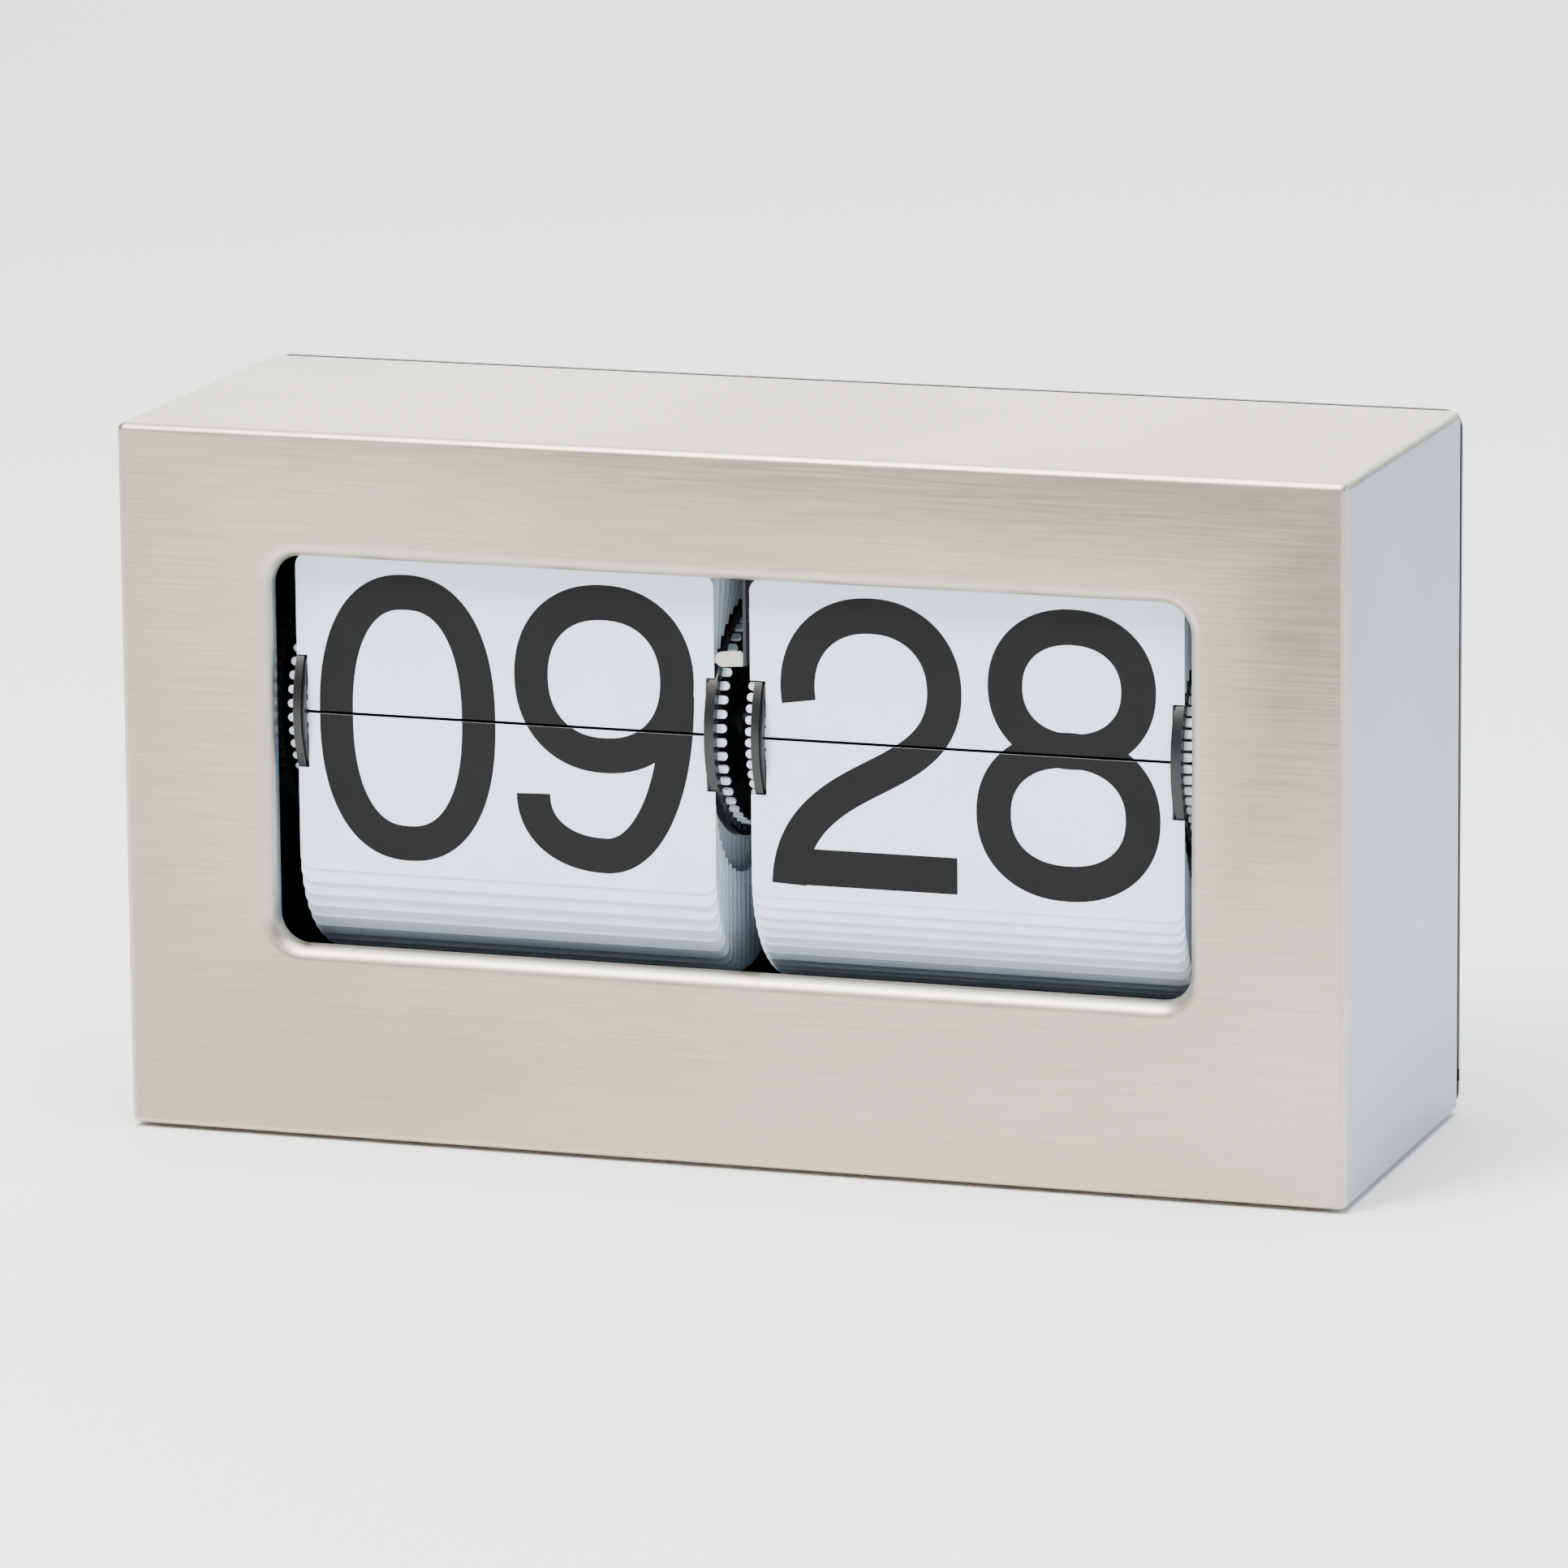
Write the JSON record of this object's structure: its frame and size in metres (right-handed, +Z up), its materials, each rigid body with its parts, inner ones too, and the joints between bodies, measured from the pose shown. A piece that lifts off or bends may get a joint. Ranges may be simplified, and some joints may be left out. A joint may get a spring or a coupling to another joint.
{
  "type": "flip number clock",
  "caption": "Boxed steel flip clock: hour and minute numerals on two drums of hinged flaps behind an open rounded window, driven by a quartz movement.",
  "frame": {"origin": "on the resting plane, under the middle of the case", "axes": "+X to the right seen from the front, +Y towards the back cover, +Z up"},
  "size_m": [0.2, 0.069, 0.1136],
  "materials": {
    "brushed_steel": "brushed",
    "black_abs": "matte",
    "white_flap": "satin",
    "drum_black": "satin",
    "white_gear": "satin",
    "turned_steel": "polished",
    "bronze": "machined",
    "nickel": "bright",
    "rubber": "matte",
    "zinc_screw": "plated",
    "cell_jacket": "gloss",
    "copper_wire": "enamelled",
    "red_lead": "gloss",
    "black_lead": "gloss",
    "board_green": "gloss"
  },
  "bodies": {
    "case": {"back_cover": "black_abs", "back_cover_screws": "zinc_screw", "battery_cell": "cell_jacket", "bracket_screws": "zinc_screw", "bronze_bushes": "bronze", "case_shell": "brushed_steel", "chassis_tray": "black_abs", "circuit_board": "board_green", "coil": "copper_wire", "flap_frame": "black_abs", "hour_flap_clip": "nickel", "hour_flaps_hanging": "white_flap", "hour_flaps_upper": "white_flap", "hour_lower_flap": "white_flap", "idler_pin": "turned_steel", "left_bracket": "black_abs", "minute_flap_spring": "nickel", "minute_flaps_hanging": "white_flap", "minute_flaps_upper": "white_flap", "minute_lower_flap": "white_flap", "movement_cover": "black_abs", "movement_housing": "black_abs", "movement_screws": "zinc_screw", "negative_contact": "nickel", "negative_lead": "black_lead", "positive_contact": "nickel", "positive_lead": "red_lead", "quartz_crystal": "nickel", "right_bracket": "black_abs", "rubber_feet": "rubber", "stator": "turned_steel"},
    "minute_drum": {"minute_left_flange": "drum_black", "minute_right_flange": "drum_black", "minute_left_tabs": "white_flap", "minute_right_tabs": "white_flap", "minute_drum_core": "drum_black", "axle": "turned_steel", "axle_clips": "turned_steel", "axle_pinion": "white_gear", "minute_gear": "white_gear"},
    "hour_drum": {"hour_left_flange": "drum_black", "hour_right_flange": "drum_black", "hour_left_tabs": "white_flap", "hour_right_tabs": "white_flap", "hour_drum_core": "drum_black", "hour_gear": "drum_black"},
    "hour_idler": {"hour_idler": "white_gear"},
    "setting_wheel": {"setting_wheel": "black_abs", "setting_gear": "white_gear", "setting_shaft": "turned_steel"},
    "movement_output": {"output_arbor": "white_gear"},
    "movement_rotor": {"rotor": "white_gear"},
    "hour_front_flap": {"hour_front_flap": "white_flap"},
    "minute_front_flap": {"minute_front_flap": "white_flap"},
    "battery_door": {"battery_door": "black_abs"}
  },
  "joints": [
    {"name": "minute_drum_turn", "type": "hinge", "parent": "case", "child": "minute_drum", "pos_m": [0, -0.0122, 0.0681], "axis": [1, 0, 0], "continuous": true},
    {"name": "hour_drum_turn", "type": "hinge", "parent": "case", "child": "hour_drum", "pos_m": [0, -0.0122, 0.0681], "axis": [1, 0, 0], "continuous": true},
    {"name": "hour_idler_turn", "type": "hinge", "parent": "case", "child": "hour_idler", "pos_m": [0, 0.0088, 0.0681], "axis": [1, 0, 0], "continuous": true},
    {"name": "setting_wheel_turn", "type": "hinge", "parent": "case", "child": "setting_wheel", "pos_m": [0, 0.0158, 0.0681], "axis": [1, 0, 0], "continuous": true},
    {"name": "movement_output_turn", "type": "hinge", "parent": "case", "child": "movement_output", "pos_m": [0, -0.01938, 0.04837], "axis": [1, 0, 0], "continuous": true},
    {"name": "movement_rotor_turn", "type": "hinge", "parent": "case", "child": "movement_rotor", "pos_m": [0, -0.01938, 0.03637], "axis": [1, 0, 0], "continuous": true},
    {"name": "minute_flap_drop", "type": "hinge", "parent": "case", "child": "minute_front_flap", "pos_m": [0, -0.02918, 0.06899], "axis": [1, 0, 0], "range_deg": [0, 170]},
    {"name": "hour_flap_drop", "type": "hinge", "parent": "case", "child": "hour_front_flap", "pos_m": [0, -0.02916, 0.06921], "axis": [1, 0, 0], "range_deg": [0, 170]},
    {"name": "battery_door_pull", "type": "slide", "parent": "case", "child": "battery_door", "axis": [0, 1, 0], "range_m": [0, 0.03]}
  ],
  "couplings": [
    {"joint": "hour_idler_turn", "follows": "minute_drum_turn", "ratio": -0.25},
    {"joint": "hour_drum_turn", "follows": "minute_drum_turn", "ratio": 0.041667},
    {"joint": "setting_wheel_turn", "follows": "minute_drum_turn", "ratio": -1.6667},
    {"joint": "movement_output_turn", "follows": "minute_drum_turn", "ratio": -5},
    {"joint": "movement_rotor_turn", "follows": "minute_drum_turn", "ratio": 25}
  ]
}
